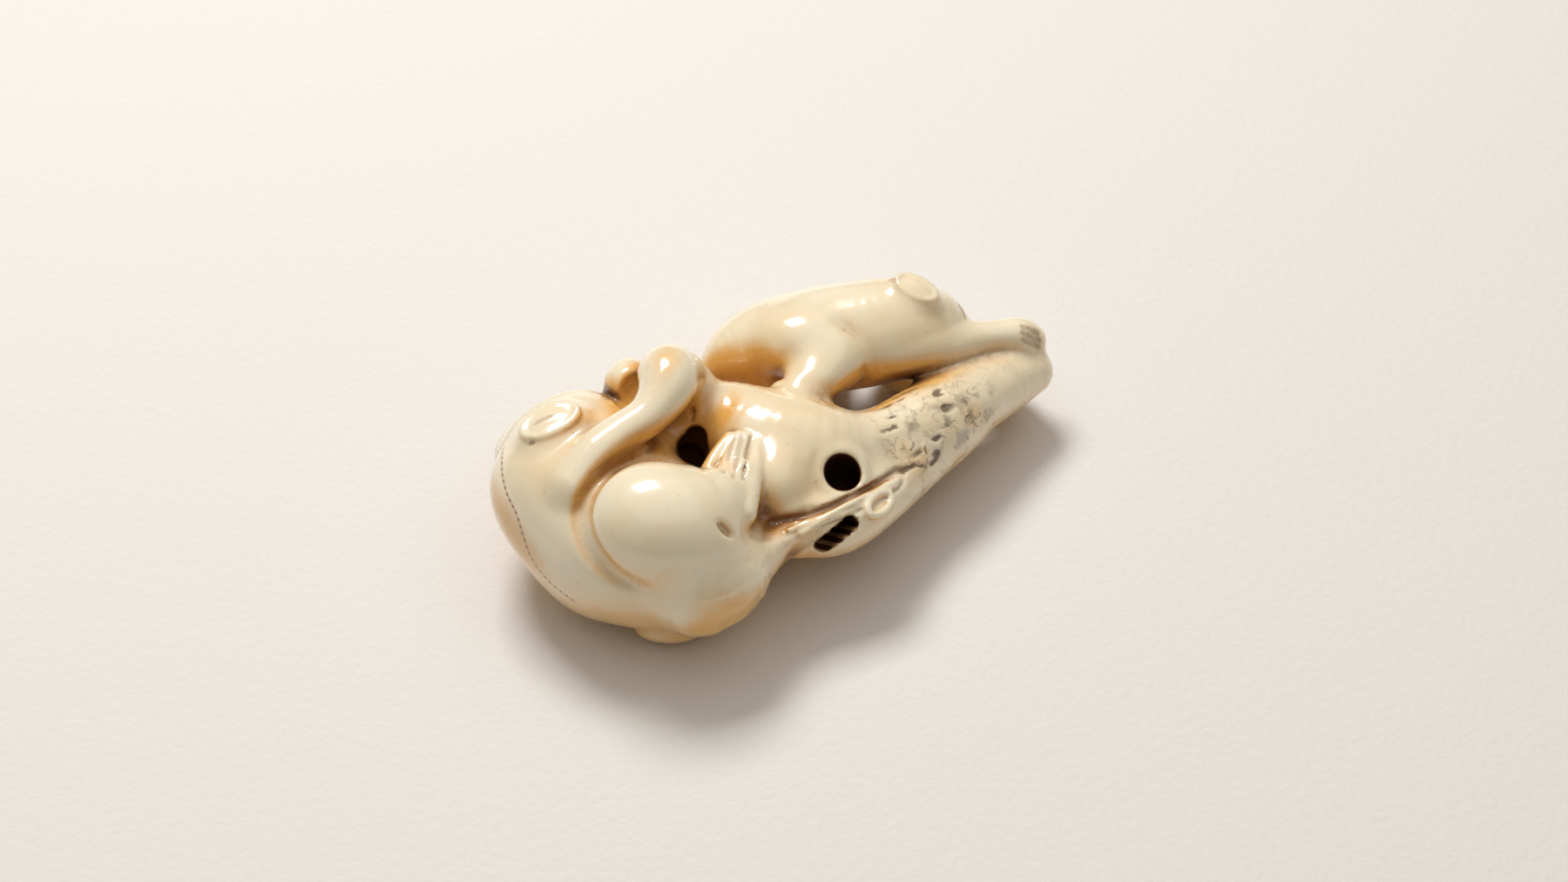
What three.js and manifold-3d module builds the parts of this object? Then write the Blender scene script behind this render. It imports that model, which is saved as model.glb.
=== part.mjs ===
// A carved netsuke: a large frog and a small frog lie along a knotty branch, all cut from one piece.
// The carving is laid out as it shows from the side with the two cord holes: u runs to the right
// and v upwards on an upright picture of it, z is the height above the table, r a radius.
// The layout is drawn in parts, and one scale turns the parts into millimetres.
import * as THREE from 'three';
import { MeshoptSimplifier } from 'three/addons/libs/meshopt_simplifier.module.js';
import { mergeVertices } from 'three/addons/utils/BufferGeometryUtils.js';
import Module from 'manifold-3d';

// Sizes in millimetres
const LENGTH = 66;
const CORD_HOLE_DIAMETER = 3.8;
const CORD_HOLE_DEPTH = 9;
const CORD_SLOT_LENGTH = 5.4;
const CORD_SLOT_WIDTH = 1.7;
const BORE_LEAD = 4;
const GROUND_OFF = 0.9;

// Layout: its own length in parts, and the place it is seen from
const LAYOUT_LENGTH = 69.4;
const SCALE = LENGTH / LAYOUT_LENGTH;
const SIGHT_AZIMUTH = THREE.MathUtils.degToRad( - 26 );
const SIGHT_ELEVATION = THREE.MathUtils.degToRad( 50 );
const SIGHT_DISTANCE = 300;
const SIGHT_MIDDLE = new THREE.Vector3( 2.15, 1.0, 13.5 );

// Fineness of the field and of the finished faceting
const GRID_STEP = 0.72;
const FIELD_LOW = new THREE.Vector3( - 34, - 20, - 3 );
const FIELD_HIGH = new THREE.Vector3( 40.5, 25.5, 30 );
const BLOCK = 8;
const REACH = 4.5;
const FACETS = 7000;
const EDGE_MARGIN = 0.1;

const TOWARD = new THREE.Vector3(
	Math.sin( SIGHT_AZIMUTH ) * Math.cos( SIGHT_ELEVATION ),
	- Math.cos( SIGHT_AZIMUTH ) * Math.cos( SIGHT_ELEVATION ),
	Math.sin( SIGHT_ELEVATION ) );
const RIGHT = new THREE.Vector3( Math.cos( SIGHT_AZIMUTH ), Math.sin( SIGHT_AZIMUTH ), 0 );
const UP = new THREE.Vector3().crossVectors( TOWARD, RIGHT );
const EYE_POINT = SIGHT_MIDDLE.clone().addScaledVector( TOWARD, SIGHT_DISTANCE );

// Limbs and trunks: rows of u, v, z, r along the middle of each
const BRANCH = [
	[ - 10.0, 3.4, 15.0, 3.6 ], [ - 6.0, 1.9, 15.0, 4.9 ], [ - 1.5, - 0.4, 14.5, 6.3 ], [ 3.0, - 1.4, 14.0, 6.1 ],
	[ 7.5, - 1.2, 13.0, 4.7 ], [ 11.5, - 0.2, 12.0, 4.3 ], [ 16.0, 1.7, 11.0, 4.8 ], [ 20.5, 4.4, 10.0, 4.6 ],
	[ 25.0, 6.8, 9.0, 3.9 ], [ 28.0, 8.0, 8.5, 3.0 ],
];
const BRANCH_UNDERSIDE = [
	[ 1.8, - 9.7, 12.0, 3.7 ], [ 6.0, - 8.7, 11.5, 4.3 ], [ 10.5, - 6.0, 10.5, 3.9 ],
	[ 15.5, - 2.3, 9.5, 3.2 ], [ 20.0, 1.5, 9.0, 2.5 ],
];
const LARGE_ARM = [
	[ - 24.0, - 5.0, 20.0, 3.0 ], [ - 21.4, - 1.4, 21.9, 2.6 ], [ - 18.9, 0.7, 22.6, 2.3 ], [ - 15.9, 2.7, 23.2, 2.3 ],
	[ - 14.2, 4.7, 23.7, 2.7 ], [ - 13.3, 6.7, 24.0, 3.3 ], [ - 13.1, 7.6, 23.5, 3.5 ], [ - 11.5, 7.0, 21.0, 3.0 ],
	[ - 9.0, 4.5, 18.0, 2.6 ],
];
const LARGE_SHIN = [ [ - 8.8, - 7.6, 18.0, 4.4 ], [ - 5.8, - 6.0, 18.2, 2.6 ], [ - 5.0, - 3.9, 18.8, 2.0 ] ];
const LARGE_TOES = [
	[ [ - 8.7, - 3.6, 18.6, 1.0 ], [ - 7.6, - 1.4, 19.3, 0.8 ], [ - 6.3, 0.4, 19.5, 0.7 ] ],
	[ [ - 7.0, - 4.4, 19.0, 1.1 ], [ - 6.2, - 2.0, 19.6, 0.85 ], [ - 5.3, 0.5, 19.6, 0.7 ] ],
	[ [ - 5.9, - 4.6, 19.1, 1.1 ], [ - 5.2, - 2.2, 19.6, 0.85 ], [ - 4.3, 0.4, 19.5, 0.7 ] ],
	[ [ - 4.7, - 8.2, 18.2, 1.6 ], [ - 3.9, - 5.4, 18.8, 1.3 ], [ - 3.3, - 2.6, 19.2, 1.0 ], [ - 3.1, 0.0, 19.1, 0.8 ] ],
];
const LARGE_HIND_LEG = [ [ - 9.6, - 16.6, 11.6, 5.0 ], [ - 5.2, - 14.9, 12.2, 3.0 ], [ - 2.2, - 12.8, 12.8, 2.2 ] ];
const LARGE_HIND_FOOT = [
	[ - 5.2, - 14.9, 12.2, 3.0 ], [ - 2.2, - 12.8, 12.8, 2.2 ], [ 0.5, - 10.9, 13.6, 1.7 ], [ 3.5, - 9.4, 14.2, 1.35 ],
	[ 7.5, - 7.5, 14.4, 1.2 ], [ 11.0, - 6.1, 14.2, 1.3 ], [ 13.2, - 4.9, 13.8, 1.1 ],
];
const SMALL_TRUNK = [
	[ - 8.0, 8.2, 12.5, 2.0 ], [ - 5.0, 10.0, 13.8, 4.0 ], [ - 1.5, 11.0, 14.5, 5.3 ], [ 3.1, 11.5, 15.0, 6.2 ],
	[ 8.1, 12.2, 15.3, 6.4 ], [ 12.6, 13.3, 16.0, 5.6 ], [ 16.0, 14.2, 16.5, 3.9 ], [ 18.2, 14.4, 16.4, 2.4 ],
	[ 19.1, 14.3, 16.2, 1.7 ],
];
const SMALL_FORELEG = [
	[ 10.8, 10.6, 15.6, 3.6 ], [ 15.0, 10.6, 15.3, 3.2 ], [ 18.3, 11.0, 14.8, 2.7 ], [ 21.6, 11.7, 14.2, 2.1 ],
	[ 24.6, 12.1, 13.6, 1.9 ], [ 27.0, 12.2, 13.0, 2.1 ], [ 28.4, 11.8, 12.0, 1.7 ],
];
const SMALL_SHIN = [ [ 5.6, 9.0, 17.2, 3.1 ], [ 3.8, 7.2, 17.3, 2.9 ], [ 1.9, 5.6, 17.0, 2.6 ], [ 0.8, 4.6, 16.4, 2.2 ] ];
const SMALL_HIND_FOOT = [ [ - 0.2, 5.5, 17.2, 1.6 ], [ 2.5, 4.3, 17.6, 1.3 ], [ 5.0, 2.9, 17.4, 1.1 ], [ 6.7, 1.9, 16.6, 0.7 ] ];
// Limbs out of sight, given as x, y, z, r
const SMALL_FAR_FORELEG = [ [ 20, 13, 11, 4.4 ], [ 25, 12.5, 4.0, 3.9 ], [ 30.5, 8.5, 3.8, 3.2 ], [ 34.0, 4.0, 5.6, 2.8 ] ];
const SMALL_FAR_HIND_LEG = [ [ 7, 14, 10, 5.0 ], [ 14, 18, 4.5, 4.4 ], [ 8, 15, 3.9, 3.4 ], [ 3.5, 9.5, 5.4, 3.0 ], [ 1, 5, 8, 2.8 ] ];
const LARGE_FAR_ARM = [ [ - 19, 11, 16, 3.8 ], [ - 13.5, 13, 11, 3.5 ], [ - 7.5, 9, 9, 3.1 ], [ - 3.5, 4, 8.6, 2.9 ] ];
const LARGE_FAR_HIND_FOOT = [ [ - 13, - 8, 5.0, 4.4 ], [ - 6, - 6, 4.8, 3.7 ], [ 0, - 4.5, 5.8, 3.0 ], [ 6, - 3, 7.2, 2.4 ] ];

// The point at height z on the line of sight through u, v
function seen( u, v, z ) {

	const ray = TOWARD.clone().negate().addScaledVector( RIGHT, u / SIGHT_DISTANCE ).addScaledVector( UP, v / SIGHT_DISTANCE );
	return EYE_POINT.clone().addScaledVector( ray, ( z - EYE_POINT.z ) / ray.z );

}

// Axes across, up and toward the viewer, turned anticlockwise in the picture by some degrees
function turned( degrees ) {

	const angle = THREE.MathUtils.degToRad( degrees );
	const across = RIGHT.clone().multiplyScalar( Math.cos( angle ) ).addScaledVector( UP, Math.sin( angle ) );
	return [ across, new THREE.Vector3().crossVectors( TOWARD, across ), TOWARD.clone() ];

}

// Axes of a patch of skin: along it, across it, and out of it
function skinAxes( outward, along ) {

	const first = along.clone().addScaledVector( outward, - along.dot( outward ) ).normalize();
	return [ first, new THREE.Vector3().crossVectors( outward, first ), outward ];

}

// Every form gives its signed distance, below zero inside, and the box it lies in
function box( points, margin ) {

	const bounds = new THREE.Box3().setFromPoints( points ).expandByScalar( margin );
	return { low: bounds.min.toArray(), high: bounds.max.toArray() };

}

function ball( centre, radii, axes ) {

	const [ a, b, c ] = radii;
	const [ e, f, g ] = axes;
	const distance = ( x, y, z ) => {

		const dx = x - centre.x;
		const dy = y - centre.y;
		const dz = z - centre.z;
		const s = ( dx * e.x + dy * e.y + dz * e.z ) / a;
		const t = ( dx * f.x + dy * f.y + dz * f.z ) / b;
		const w = ( dx * g.x + dy * g.y + dz * g.z ) / c;
		const size = Math.hypot( s, t, w );
		const slope = Math.hypot( s / a, t / b, w / c );
		return slope > 1e-9 ? size * ( size - 1 ) / slope : - Math.min( a, b, c );

	};
	return { distance, ...box( [ centre ], Math.max( a, b, c ) ) };

}

function limb( places, radii, spans = 5 ) {

	const steps = spans * ( places.length - 1 );
	const middle = new THREE.CatmullRomCurve3( places, false, 'catmullrom' ).getPoints( steps );
	const widthPoints = radii.map( ( r ) => new THREE.Vector3( r, 0, 0 ) );
	const widths = new THREE.CatmullRomCurve3( widthPoints, false, 'catmullrom' ).getPoints( steps ).map( ( p ) => p.x );
	const pieces = middle.slice( 1 ).map( ( end, i ) => {

		const run = end.clone().sub( middle[ i ] );
		return [ ...middle[ i ].toArray(), ...run.toArray(), run.lengthSq(), widths[ i ], widths[ i + 1 ] - widths[ i ] ];

	} );
	const distance = ( x, y, z ) => {

		let nearest = Infinity;
		for ( const [ px, py, pz, rx, ry, rz, runSquared, width, growth ] of pieces ) {

			const dx = x - px;
			const dy = y - py;
			const dz = z - pz;
			const t = Math.min( 1, Math.max( 0, ( dx * rx + dy * ry + dz * rz ) / runSquared ) );
			const gap = Math.hypot( dx - t * rx, dy - t * ry, dz - t * rz ) - width - t * growth;
			nearest = Math.min( nearest, gap );

		}

		return nearest;

	};
	return { distance, ...box( middle, Math.max( ...widths ) ) };

}

const seenLimb = ( rows ) => limb( rows.map( ( [ u, v, z ] ) => seen( u, v, z ) ), rows.map( ( row ) => row[ 3 ] ) );
const hiddenLimb = ( rows ) => limb( rows.map( ( [ x, y, z ] ) => new THREE.Vector3( x, y, z ) ), rows.map( ( row ) => row[ 3 ] ) );
const seenBall = ( u, v, z, radii, turn = 0 ) => ball( seen( u, v, z ), radii, turned( turn ) );

// Smooth joining: k is how far the two surfaces run into each other
function blended( a, b, k ) {

	const share = Math.min( 1, Math.max( 0, 0.5 + 0.5 * ( b - a ) / k ) );
	return b * ( 1 - share ) + a * share - k * share * ( 1 - share );

}

// The steps of the carving in order: join( form ), with a groove along the join where it is wanted, or cut( form )
const carving = [];

function join( form, blend, groove = 0, grooveWidth = 0.5, groovePart = () => 1 ) {

	carving.push( { form, blend, groove, grooveWidth, groovePart, joins: true } );

}

function cut( form, blend ) {

	carving.push( { form, blend, joins: false } );

}

function apartBy( form, low, high ) {

	const gaps = [ 0, 1, 2 ].map( ( axis ) => Math.max( form.low[ axis ] - high[ axis ], low[ axis ] - form.high[ axis ], 0 ) );
	return Math.hypot( ...gaps );

}

// The steps that matter inside a box, and how far the nearest of the others is at least
function stepsNear( low, high ) {

	let others = 60;
	const near = [];
	for ( const step of carving ) {

		const apart = apartBy( step.form, low, high );
		if ( apart <= REACH + step.blend ) near.push( step );
		else if ( step.joins ) others = Math.min( others, apart );

	}

	return { near, others };

}

function fieldAt( x, y, z, { near, others } ) {

	let field = others;
	for ( const { form, blend, groove, grooveWidth, groovePart, joins } of near ) {

		const own = form.distance( x, y, z );
		if ( ! joins ) field = - blended( - field, own, blend );
		else if ( groove ) {

			const along = Math.exp( - ( own * own + field * field ) / ( grooveWidth * grooveWidth ) );
			field = blended( field, own, blend ) + groove * along * groovePart( x, y, z );

		} else field = blended( field, own, blend );

	}

	return field;

}

const fieldAlone = ( p ) => fieldAt( p.x, p.y, p.z, stepsNear( p.toArray(), p.toArray() ) );

// The first point of the skin met from start along a ray, and the way the skin faces there
function skinMet( start, ray ) {

	const point = start.clone();
	for ( let i = 0; i < 300; i ++ ) {

		const gap = fieldAlone( point );
		if ( gap < 0.005 ) break;
		point.addScaledVector( ray, Math.max( 0.7 * gap, 0.01 ) );

	}

	const slope = [ 'x', 'y', 'z' ].map( ( axis ) => {

		const ahead = point.clone();
		ahead[ axis ] += 0.05;
		const behind = point.clone();
		behind[ axis ] -= 0.05;
		return fieldAlone( ahead ) - fieldAlone( behind );

	} );
	return { point, outward: new THREE.Vector3( ...slope ).normalize() };

}

// The skin on the line of sight through u, v
function onSkin( u, v ) {

	const ray = TOWARD.clone().negate().addScaledVector( RIGHT, u / SIGHT_DISTANCE ).addScaledVector( UP, v / SIGHT_DISTANCE ).normalize();
	return skinMet( EYE_POINT.clone().addScaledVector( ray, SIGHT_DISTANCE - 45 ), ray );

}

// An eye: a low oval mound with a narrow dome on it
function eye( { point, outward }, along, size ) {

	const axes = skinAxes( outward, along );
	const raised = ( share ) => point.clone().addScaledVector( outward, share * size );
	join( ball( raised( - 0.1 ), [ size, 0.62 * size, 0.54 * size ], axes ), 0.3 * size );
	join( ball( raised( 0.16 ), [ 0.62 * size, 0.3 * size, 0.32 * size ], axes ), 0.2 * size );

}

// The branch
join( seenLimb( BRANCH ), 1 );
join( seenLimb( BRANCH_UNDERSIDE ), 2.5 );
join( seenBall( - 1.2, - 4.8, 15.2, [ 4.2, 4.6, 4.4 ] ), 2 );

// The large frog: trunk, head, shoulders, rump and the folded legs
const trunkMiddle = seen( - 18.4, - 10.4, 11 );
join( ball( trunkMiddle, [ 11.2, 10.4, 11.0 ], turned( 0 ) ), 1.2, 0.6, 0.8 );
join( seenBall( - 25.8, - 5.2, 13.5, [ 7.8, 8.0, 8.4 ], - 20 ), 4.5 );
join( seenBall( - 26.4, 1.4, 17.5, [ 4.2, 3.0, 4.2 ], 28 ), 2.5 );
join( seenBall( - 20.8, - 1.8, 14, [ 7.0, 6.6, 7.5 ] ), 4 );
join( seenBall( - 12.5, 0.5, 12.5, [ 6.2, 6.2, 5.0 ] ), 3 );
join( seenBall( - 11.0, - 14.4, 9, [ 8.0, 7.6, 8.0 ] ), 4 );
join( seenBall( - 13.1, - 20.9, 3.6, [ 4.4, 2.3, 4.0 ] ), 0.5, 0.25, 0.5 );
join( seenBall( - 17.8, 6.2, 18, [ 2.9, 3.4, 3.4 ] ), 0.8, 0.3, 0.6 );
cut( seenBall( - 17.0, 5.5, 20.6, [ 2.2, 3.0, 2.0 ], - 20 ), 0.5 );
join( seenLimb( LARGE_ARM ), 1.4 );
const kneeMiddle = seen( - 14.3, - 9.5, 18.2 );
const kneeOpen = RIGHT.clone().addScaledVector( UP, - 0.55 ).normalize();
const kneeGroove = ( x, y, z ) => {

	const along = ( x - kneeMiddle.x ) * kneeOpen.x + ( y - kneeMiddle.y ) * kneeOpen.y + ( z - kneeMiddle.z ) * kneeOpen.z;
	return Math.min( 1, Math.max( 0, 0.5 - along / 6 ) );

};
join( ball( kneeMiddle, [ 8.6, 6.9, 6.3 ], turned( - 8 ) ), 0.8, 1.0, 0.9, kneeGroove );
join( seenBall( - 10.0, - 13.0, 13.4, [ 7.2, 5.4, 5.6 ], - 30 ), 4 );
join( seenLimb( LARGE_SHIN ), 2, 0.2, 0.5 );
for ( const toe of LARGE_TOES ) join( seenLimb( toe ), 0.35 );
join( seenLimb( LARGE_HIND_LEG ), 3 );
join( seenLimb( LARGE_HIND_FOOT ), 0.8, 0.5, 0.6 );
join( hiddenLimb( LARGE_FAR_ARM ), 2 );
join( ball( new THREE.Vector3( - 14.5, - 5, 5.2 ), [ 7.6, 6.4, 5.1 ], turned( 0 ) ), 0.8, 0.6, 0.8 );
join( hiddenLimb( LARGE_FAR_HIND_FOOT ), 2 );

// The small frog
join( seenLimb( SMALL_TRUNK ), 1 );
join( seenLimb( SMALL_FORELEG ), 2, 0.25, 0.5 );
const thighMiddle = seen( 3.0, 10.7, 17.2 );
const thighGroove = ( x, y, z ) => {

	const along = ( x - thighMiddle.x ) * RIGHT.x + ( y - thighMiddle.y ) * RIGHT.y;
	return Math.min( 1, Math.max( 0, 0.5 + along / 4 ) );

};
join( ball( thighMiddle, [ 6.6, 4.7, 4.4 ], turned( - 15 ) ), 1.6, 0.6, 0.7, thighGroove );
join( seenLimb( SMALL_SHIN ), 2 );
join( seenLimb( SMALL_HIND_FOOT ), 0.8 );
join( hiddenLimb( SMALL_FAR_FORELEG ), 2 );
join( hiddenLimb( SMALL_FAR_HIND_LEG ), 2 );

// The pit between arm, knee and branch
cut( seenLimb( [ [ - 10.2, 0.8, 19, 1.0 ], [ - 10.9, - 1.2, 19, 1.6 ], [ - 10.8, - 1.8, 19, 1.6 ] ] ), 0.8 );
cut( seenLimb( [ [ - 10.5, - 0.6, 19, 1.7 ], [ - 10.8, - 0.8, 13, 1.5 ] ] ), 0.8 );

// Eyes
const acrossLayout = ( du, dv ) => RIGHT.clone().multiplyScalar( du ).addScaledVector( UP, dv );
const towardViewer = ( { point, outward }, share ) => {

	return { point, outward: outward.addScaledVector( TOWARD, share ).normalize() };

};
eye( onSkin( - 26.7, 1.85 ), acrossLayout( 6.6, 3.7 ), 3.9 );
eye( towardViewer( onSkin( 15.1, 17.3 ), 0.45 ), acrossLayout( 5.3, - 2.9 ), 3.0 );
eye( skinMet( new THREE.Vector3( - 25, 32, 14 ), new THREE.Vector3( 0, - 1, 0 ) ), new THREE.Vector3( 1, 0, 0.3 ), 3.6 );
eye( skinMet( new THREE.Vector3( 24, 32, 12 ), new THREE.Vector3( 0, - 1, 0 ) ), new THREE.Vector3( 1, 0, - 0.2 ), 2.8 );

function indexedGeometry( positions, indices ) {

	const geometry = new THREE.BufferGeometry();
	geometry.setAttribute( 'position', new THREE.BufferAttribute( positions, 3 ) );
	geometry.setIndex( new THREE.BufferAttribute( indices, 1 ) );
	return geometry;

}

// The field on a regular grid, block by block
function sampleField() {

	const counts = FIELD_HIGH.clone().sub( FIELD_LOW ).divideScalar( GRID_STEP ).ceil().toArray().map( ( n ) => n + 1 );
	const [ nx, ny, nz ] = counts;
	const values = new Float32Array( nx * ny * nz );
	const place = ( axis, i ) => FIELD_LOW.getComponent( axis ) + i * GRID_STEP;
	for ( let k0 = 0; k0 < nz; k0 += BLOCK ) for ( let j0 = 0; j0 < ny; j0 += BLOCK ) for ( let i0 = 0; i0 < nx; i0 += BLOCK ) {

		const start = [ i0, j0, k0 ];
		const end = start.map( ( first, axis ) => Math.min( first + BLOCK, counts[ axis ] ) );
		const steps = stepsNear( start.map( ( i, axis ) => place( axis, i ) ), end.map( ( i, axis ) => place( axis, i - 1 ) ) );
		for ( let k = k0; k < end[ 2 ]; k ++ ) for ( let j = j0; j < end[ 1 ]; j ++ ) for ( let i = i0; i < end[ 0 ]; i ++ ) {

			values[ i + nx * ( j + ny * k ) ] = fieldAt( place( 0, i ), place( 1, j ), place( 2, k ), steps );

		}

	}

	return { counts, at: ( i, j, k ) => values[ i + nx * ( j + ny * k ) ] };

}

// A grid cell has eight corners and is shared out to six tetrahedra around its long diagonal
const CORNERS = [ [ 0, 0, 0 ], [ 1, 0, 0 ], [ 1, 1, 0 ], [ 0, 1, 0 ], [ 0, 0, 1 ], [ 1, 0, 1 ], [ 1, 1, 1 ], [ 0, 1, 1 ] ];
const DIAGONAL = [ 0, 6 ];
const AROUND_DIAGONAL = [ 1, 2, 3, 7, 4, 5 ];
const TETRAHEDRA = AROUND_DIAGONAL.map( ( corner, i ) => [ ...DIAGONAL, corner, AROUND_DIAGONAL[ ( i + 1 ) % 6 ] ] );

// The skin of the field as a closed mesh in millimetres: each tetrahedron that the skin crosses
// gives one triangle or two, with their corners on the tetrahedron's edges
function skinGeometry() {

	const { counts, at } = sampleField();
	const [ nx, ny, nz ] = counts;
	const positions = [];
	const triangles = [];
	const cornerOnEdge = new Map();
	const placeOf = ( [ i, j, k ] ) => new THREE.Vector3( i, j, k ).multiplyScalar( GRID_STEP ).add( FIELD_LOW ).multiplyScalar( SCALE );
	const indexOf = ( [ i, j, k ] ) => i + nx * ( j + ny * k );

	function crossing( inner, outer ) {

		const ends = [ indexOf( inner ), indexOf( outer ) ].sort( ( a, b ) => a - b );
		const key = ends[ 0 ] * nx * ny * nz + ends[ 1 ];
		if ( ! cornerOnEdge.has( key ) ) {

			const depth = at( ...inner );
			const share = THREE.MathUtils.clamp( depth / ( depth - at( ...outer ) ), EDGE_MARGIN, 1 - EDGE_MARGIN );
			cornerOnEdge.set( key, positions.length );
			positions.push( placeOf( inner ).lerp( placeOf( outer ), share ) );

		}

		return cornerOnEdge.get( key );

	}

	function addTriangle( corners, outward ) {

		const [ p, q, r ] = corners.map( ( corner ) => positions[ corner ] );
		const normal = new THREE.Vector3().crossVectors( q.clone().sub( p ), r.clone().sub( p ) );
		triangles.push( ...( normal.dot( outward ) > 0 ? corners : [ corners[ 0 ], corners[ 2 ], corners[ 1 ] ] ) );

	}

	function addTetrahedron( corners ) {

		const inner = corners.filter( ( corner ) => at( ...corner ) < 0 );
		const outer = corners.filter( ( corner ) => at( ...corner ) >= 0 );
		if ( inner.length === 0 || outer.length === 0 ) return;
		const middle = ( group ) => group.reduce( ( sum, corner ) => sum.add( placeOf( corner ) ), new THREE.Vector3() ).divideScalar( group.length );
		const outward = middle( outer ).sub( middle( inner ) );
		if ( inner.length === 2 ) {

			const [ a, b ] = inner;
			const [ c, d ] = outer;
			addTriangle( [ crossing( a, c ), crossing( a, d ), crossing( b, d ) ], outward );
			addTriangle( [ crossing( a, c ), crossing( b, d ), crossing( b, c ) ], outward );

		} else {

			addTriangle( inner.flatMap( ( a ) => outer.map( ( b ) => crossing( a, b ) ) ), outward );

		}

	}

	for ( let k = 0; k < nz - 1; k ++ ) for ( let j = 0; j < ny - 1; j ++ ) for ( let i = 0; i < nx - 1; i ++ ) {

		const corners = CORNERS.map( ( [ di, dj, dk ] ) => [ i + di, j + dj, k + dk ] );
		const insideCount = corners.filter( ( corner ) => at( ...corner ) < 0 ).length;
		if ( insideCount === 0 || insideCount === 8 ) continue;
		for ( const four of TETRAHEDRA ) addTetrahedron( four.map( ( n ) => corners[ n ] ) );

	}

	const flat = new Float32Array( positions.flatMap( ( p ) => p.toArray() ) );
	const [ fewer ] = MeshoptSimplifier.simplify( new Uint32Array( triangles ), flat, 3, 3 * FACETS, 1 );
	return indexedGeometry( flat, fewer );

}

await MeshoptSimplifier.ready;
const wasm = await Module();
wasm.setup();

function solid( geometry ) {

	const bare = geometry.clone();
	for ( const name of Object.keys( bare.attributes ) ) if ( name !== 'position' ) bare.deleteAttribute( name );
	const merged = mergeVertices( bare );
	return new wasm.Manifold( new wasm.Mesh( {
		numProp: 3,
		vertProperties: Float32Array.from( merged.attributes.position.array ),
		triVerts: Uint32Array.from( merged.index.array ),
	} ) );

}

// A bored opening: round or oval, from just outside its mouth down to a depth
function bore( mouth, foot, along, length, width ) {

	const shape = new THREE.CylinderGeometry( 0.5, 0.5, 1, 24 );
	const inward = foot.clone().sub( mouth );
	const depth = inward.length();
	const [ first, second, axis ] = skinAxes( inward.normalize(), along );
	const start = mouth.clone().addScaledVector( axis, - BORE_LEAD );
	const middle = start.clone().add( foot ).multiplyScalar( 0.5 );
	shape.scale( length, depth + BORE_LEAD, width );
	shape.applyMatrix4( new THREE.Matrix4().makeBasis( first, axis, second.negate() ).setPosition( middle ) );
	return solid( shape );

}

const skin = solid( skinGeometry() );
const holeMouth = onSkin( 6.6, - 3.7 ).point.multiplyScalar( SCALE );
const slotMouth = onSkin( 6.2, - 10.8 ).point.multiplyScalar( SCALE );
const meeting = holeMouth.clone().add( slotMouth ).multiplyScalar( 0.5 ).addScaledVector( TOWARD, - CORD_HOLE_DEPTH );
const slotRun = acrossLayout( 4.6, 3.6 ).normalize();
const cordHole = bore( holeMouth, meeting, slotRun, CORD_HOLE_DIAMETER, CORD_HOLE_DIAMETER );
const cordSlot = bore( slotMouth, meeting, slotRun, CORD_SLOT_LENGTH, CORD_SLOT_WIDTH );
const bored = skin.subtract( cordHole ).subtract( cordSlot );

// The lowest places are ground flat so that it stands steady
const lowest = bored.boundingBox().min[ 2 ];
const ground = new THREE.BoxGeometry( 2 * LENGTH, 2 * LENGTH, 10 );
ground.translate( 0, 0, lowest + GROUND_OFF - 5 );
const stood = bored.subtract( solid( ground ) );

// Of the closed skins that are left, the outermost is the piece; a tiny pocket inside is filled
const netsuke = stood.decompose().reduce( ( largest, other ) => other.volume() > largest.volume() ? other : largest );

const { vertProperties, triVerts } = netsuke.getMesh();
const geometry = indexedGeometry( vertProperties, triVerts );
geometry.computeBoundingBox();
const { min, max } = geometry.boundingBox;
geometry.translate( - 0.5 * ( min.x + max.x ), - 0.5 * ( min.y + max.y ), - min.z );
geometry.computeVertexNormals();

const ivory = new THREE.MeshStandardMaterial( { color: '#efe0bd', roughness: 0.25, metalness: 0 } );
const piece = new THREE.Mesh( geometry, ivory );
piece.name = 'netsuke';
const group = new THREE.Group();
group.add( piece );

export default group;
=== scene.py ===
import math

import bpy
import numpy as np
from mathutils import Matrix, Vector


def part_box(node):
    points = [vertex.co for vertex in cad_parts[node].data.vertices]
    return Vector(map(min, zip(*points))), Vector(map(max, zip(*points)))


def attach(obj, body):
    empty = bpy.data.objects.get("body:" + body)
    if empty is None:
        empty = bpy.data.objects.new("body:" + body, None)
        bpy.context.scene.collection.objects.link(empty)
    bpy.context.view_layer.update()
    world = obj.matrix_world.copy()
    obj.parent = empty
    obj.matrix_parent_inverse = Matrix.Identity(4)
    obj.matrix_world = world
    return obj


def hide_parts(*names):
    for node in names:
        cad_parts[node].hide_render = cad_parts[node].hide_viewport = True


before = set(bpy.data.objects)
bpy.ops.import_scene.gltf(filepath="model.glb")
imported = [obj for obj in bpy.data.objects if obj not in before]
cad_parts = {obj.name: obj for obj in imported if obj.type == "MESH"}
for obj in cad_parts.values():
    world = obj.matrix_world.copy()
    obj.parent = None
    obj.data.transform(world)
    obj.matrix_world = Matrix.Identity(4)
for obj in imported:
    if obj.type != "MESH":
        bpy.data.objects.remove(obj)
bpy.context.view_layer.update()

# Sizes in millimetres
LENGTH = 66.0
CORD_HOLE_DIAMETER = 3.8
CORD_SLOT_LENGTH = 5.4
CORD_SLOT_WIDTH = 1.7
CORD_HOLE_DEPTH = 9.0
# What is ground off the underside, so that the piece stands flat
GROUND_OFF = 0.9
MM_PER_M = 1000

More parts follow.
